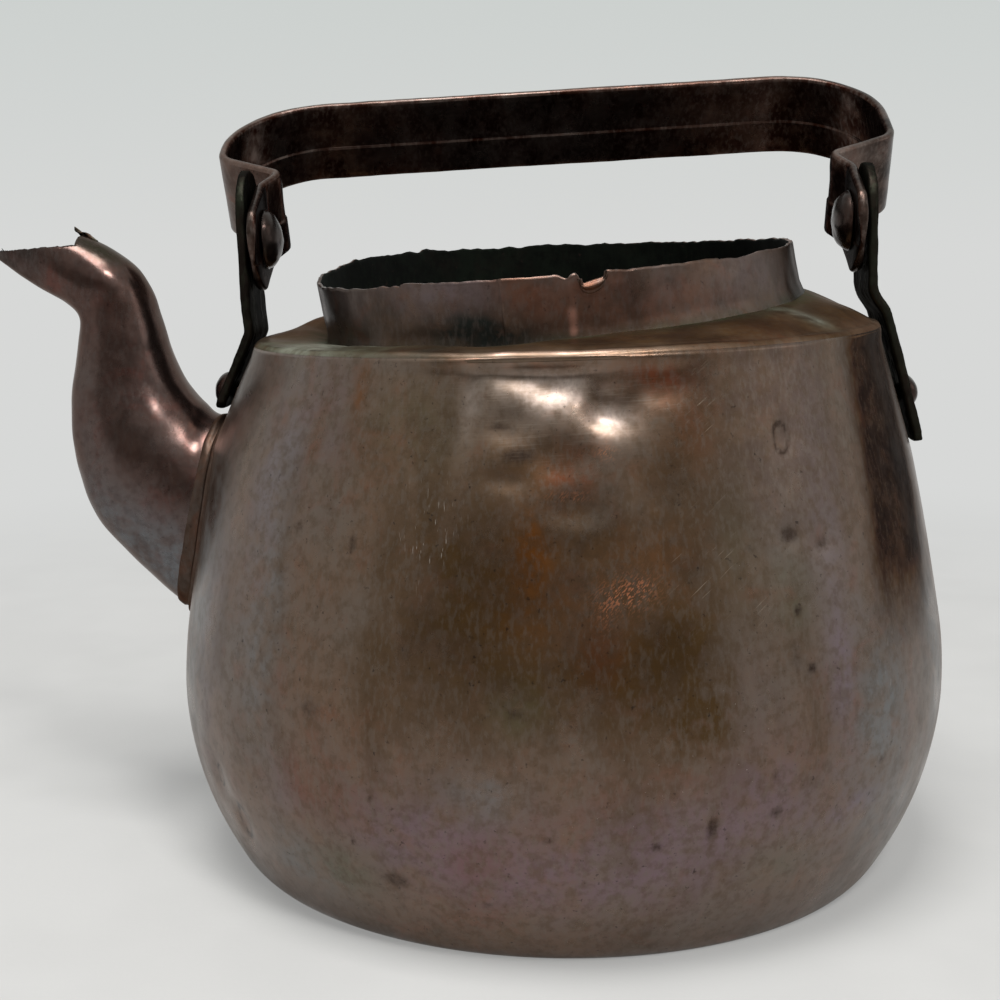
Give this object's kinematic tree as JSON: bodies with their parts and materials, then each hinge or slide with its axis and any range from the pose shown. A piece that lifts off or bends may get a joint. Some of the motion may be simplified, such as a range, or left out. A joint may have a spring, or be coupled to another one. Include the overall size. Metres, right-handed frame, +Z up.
{
  "type": "tea kettle",
  "caption": "Round-bellied copper tea kettle with a goose-neck spout, a leaning open neck collar and a swinging strap handle.",
  "frame": {"origin": "centre of the base on the table", "axes": "+Z up, -X towards the spout, +X towards the rear ear, -Y towards the viewer of the picture"},
  "size_m": [0.2371, 0.1906, 0.1933],
  "materials": {
    "body_copper": "dark patinated copper, worn satin",
    "base_copper": "dark patinated copper, worn satin",
    "shoulder_copper": "dark patinated copper, worn satin",
    "collar_copper": "dark patinated copper, worn satin",
    "spout_copper": "dark patinated copper, worn satin",
    "ear_copper": "dark patinated copper, worn satin",
    "rivet_copper": "dark patinated copper, worn satin",
    "handle_copper": "dark patinated copper, worn satin"
  },
  "bodies": {
    "kettle": {"body_wall": "body_copper", "bottom_plate": "base_copper", "shoulder_plate": "shoulder_copper", "neck_collar": "collar_copper", "spout": "spout_copper", "spout_ear": "ear_copper", "rear_ear": "ear_copper", "spout_ear_rivet": "rivet_copper", "rear_ear_rivet": "rivet_copper", "spout_pivot_rivet": "rivet_copper", "rear_pivot_rivet": "rivet_copper"},
    "handle": {"handle": "handle_copper"}
  },
  "joints": [
    {"name": "handle_swing", "type": "hinge", "parent": "kettle", "child": "handle", "pos_m": [-0.0015, 0, 0.1515], "axis": [0.9995, 0, 0.0321], "range_deg": [-24, 148]}
  ]
}
